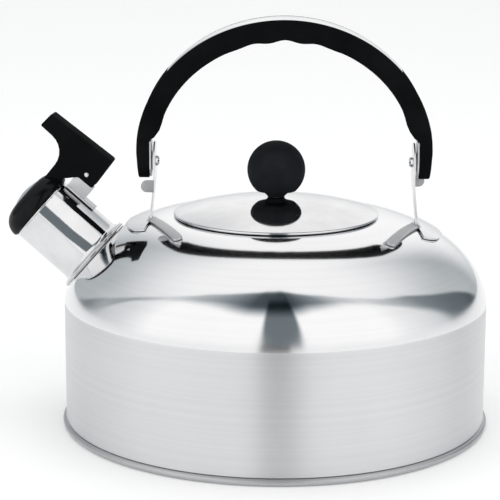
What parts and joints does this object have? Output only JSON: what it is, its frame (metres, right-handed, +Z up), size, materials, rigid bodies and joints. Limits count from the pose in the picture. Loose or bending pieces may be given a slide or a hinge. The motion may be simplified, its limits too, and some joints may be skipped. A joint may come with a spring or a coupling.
{
  "type": "stovetop whistling kettle",
  "caption": "Round steel kettle with a domed shoulder, folding bail handle, lift-off lid with ball knob, and a pull-off spout whistle with a sprung finger lever.",
  "frame": {"origin": "centre of the flat base, on the body's axis", "axes": "+Z up along the body's axis, the spout points to -X, the handle bridges the lid 6 degrees off X, its +X end further back, +Y is the back"},
  "size_m": [0.2531, 0.2234, 0.2123],
  "materials": {
    "dome_steel": "body sheet: satin wall below, mirror-polished dome above",
    "polished_steel": "mirror-polished stainless",
    "satin_steel": "satin stainless",
    "black_phenolic": "semi-gloss moulded phenolic",
    "black_matte": "matte moulded phenolic",
    "brass": "turned brass"
  },
  "bodies": {
    "kettle": {"body_shell": "dome_steel", "base_pan": "satin_steel", "spout_neck": "polished_steel", "bracket_left": "polished_steel", "bracket_right": "polished_steel", "pivot_rivet_left": "polished_steel", "pivot_rivet_right": "polished_steel", "pivot_washer_left": "satin_steel", "pivot_washer_right": "satin_steel"},
    "handle": {"handle_grip": "black_phenolic", "handle_strip": "polished_steel", "handle_tang_left": "satin_steel", "handle_tang_right": "satin_steel"},
    "lid": {"lid_shell": "polished_steel", "lid_skirt": "satin_steel", "lid_knob": "black_matte", "knob_collar": "black_matte", "knob_insert": "brass", "knob_screw": "satin_steel", "knob_washer": "satin_steel"},
    "whistle": {"whistle_sleeve": "polished_steel", "hinge_bracket": "polished_steel", "hinge_pin": "polished_steel", "hinge_spring": "satin_steel"},
    "lever": {"whistle_lever": "black_phenolic", "whistle_disc_outer": "polished_steel", "whistle_disc_inner": "satin_steel"}
  },
  "joints": [
    {"name": "handle_fold", "type": "hinge", "parent": "kettle", "child": "handle", "pos_m": [0.00398, 0.00042, 0.1375], "axis": [0.9945, 0.1045, 0], "range_deg": [-78, 78]},
    {"name": "lid_lift", "type": "slide", "parent": "kettle", "child": "lid", "axis": [0, 0, 1], "range_m": [0, 0.045]},
    {"name": "whistle_pull", "type": "slide", "parent": "kettle", "child": "whistle", "axis": [-0.7559, 0, 0.6547], "range_m": [0, 0.02]},
    {"name": "lever_open", "type": "hinge", "parent": "whistle", "child": "lever", "pos_m": [-0.099, 0, 0.1285], "axis": [0, 1, 0], "range_deg": [0, 62], "stiffness_Nm_per_rad": 0.06, "springref_deg": -20.05}
  ]
}
